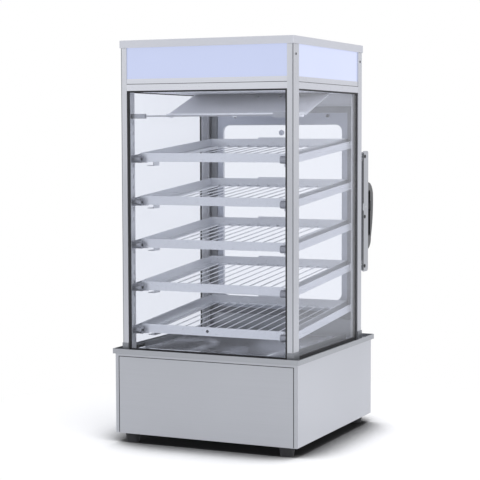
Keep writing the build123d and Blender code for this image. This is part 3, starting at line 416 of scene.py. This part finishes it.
reach = add(nt, "ShaderNodeVectorMath", operation="LENGTH")
nt.links.new(coord.outputs["Object"], reach.inputs[0])
FADE_FROM, FADE_TO = 0.28, 0.72
fade = add(nt, "ShaderNodeMapRange", in_From_Min=FADE_FROM, in_From_Max=FADE_TO, in_To_Min=0.0, in_To_Max=1.0)
nt.links.new(reach.outputs["Value"], fade.inputs["Value"])
shown = add(nt, "ShaderNodeMath", operation="MULTIPLY")
nt.links.new(fade.outputs["Result"], shown.inputs[0])
nt.links.new(path.outputs["Is Camera Ray"], shown.inputs[1])
mix = add(nt, "ShaderNodeMixShader")
nt.links.new(shown.outputs["Value"], mix.inputs["Fac"])
nt.links.new(shader.outputs["BSDF"], mix.inputs[1])
nt.links.new(glow.outputs["Emission"], mix.inputs[2])
nt.links.new(mix.outputs["Shader"], out.inputs["Surface"])
mesh.materials.append(mat)

# World: white to the camera. To everything else it is pale, and paler towards one side.
world = bpy.data.worlds.new("studio")
bpy.context.scene.world = world
world.use_nodes = True
nt = world.node_tree
nt.nodes.clear()
out = nt.nodes.new("ShaderNodeOutputWorld")
seen = add(nt, "ShaderNodeBackground")
seen.inputs["Color"].default_value = (1, 1, 1, 1)
seen.inputs["Strength"].default_value = 1.0
lit = add(nt, "ShaderNodeBackground")
lit.inputs["Strength"].default_value = 1.0
coord = add(nt, "ShaderNodeTexCoord")
BRIGHT_SIDE = (0.6, 0.3, 0.55)
toward = add(nt, "ShaderNodeVectorMath", operation="DOT_PRODUCT")
toward.inputs[1].default_value = BRIGHT_SIDE
nt.links.new(coord.outputs["Generated"], toward.inputs[0])
SKY_TONES = [(0.15, (0.42, 0.43, 0.455)), (0.45, (0.62, 0.63, 0.66)),
             (0.74, (0.92, 0.93, 0.97)), (0.9, (0.80, 0.80, 0.82))]
share = spread(nt, toward.outputs["Value"], 0.0, 1.0, -1.0, 1.0)
nt.links.new(ramp(nt, share, SKY_TONES), lit.inputs["Color"])
path = add(nt, "ShaderNodeLightPath")
mix = add(nt, "ShaderNodeMixShader")
nt.links.new(path.outputs["Is Camera Ray"], mix.inputs["Fac"])
nt.links.new(lit.outputs["Background"], mix.inputs[1])
nt.links.new(seen.outputs["Background"], mix.inputs[2])
nt.links.new(mix.outputs["Shader"], out.inputs["Surface"])


def lamp(name, place, target, size, energy):
    data = bpy.data.lights.new(name, "AREA")
    data.shape = "RECTANGLE"
    data.size, data.size_y = size
    data.energy = energy
    obj = bpy.data.objects.new(name, data)
    obj.location = place
    obj.rotation_euler = (Vector(target) - Vector(place)).to_track_quat("-Z", "Y").to_euler()
    bpy.context.scene.collection.objects.link(obj)
    return obj


lamp("key", (2.4, -1.3, 2.9), (0, 0, 0.4), (2.8, 2.8), 42.0)
lamp("fill", (-1.6, -3.0, 1.6), (0, 0, 0.45), (2.0, 2.0), 9.0)
lamp("top", (0.0, 0.2, 3.0), (0, 0, 0.4), (3.0, 3.0), 16.0)
inside = lamp("inside", (0, -0.19, 0.725), (0, 0, 0.70), (0.34, 0.03), 0.05)
inside.visible_camera = False
inside.visible_glossy = False

# Camera, fitted to the part's own edges. Angles are in radians, places in metres.
YAW, PITCH, ROLL = math.radians(24.665), math.radians(4.074), -0.0023
CAMERA_PLACE = (1.3534, -2.9530, 0.6498)
FOCAL_PIXELS, WIDTH_PIXELS, SENSOR = 1477.3, 480, 36
ahead = Vector((-math.sin(YAW) * math.cos(PITCH), math.cos(YAW) * math.cos(PITCH), -math.sin(PITCH)))
right = ahead.cross(Vector((0, 0, 1))).normalized()
up = right.cross(ahead).normalized()
level = Matrix((right, up, -ahead)).transposed()
turn = level @ Matrix.Rotation(ROLL, 3, "Z")
cam_data = bpy.data.cameras.new("camera")
cam_data.lens = FOCAL_PIXELS / WIDTH_PIXELS * SENSOR
cam_data.sensor_width = SENSOR
cam_data.shift_x = -0.0228
cam_data.shift_y = 0.0028
cam_data.clip_start = 0.1
camera = bpy.data.objects.new("camera", cam_data)
camera.matrix_world = Matrix.Translation(CAMERA_PLACE) @ turn.to_4x4()
bpy.context.scene.collection.objects.link(camera)
bpy.context.scene.camera = camera
bpy.context.scene.view_settings.view_transform = "Standard"
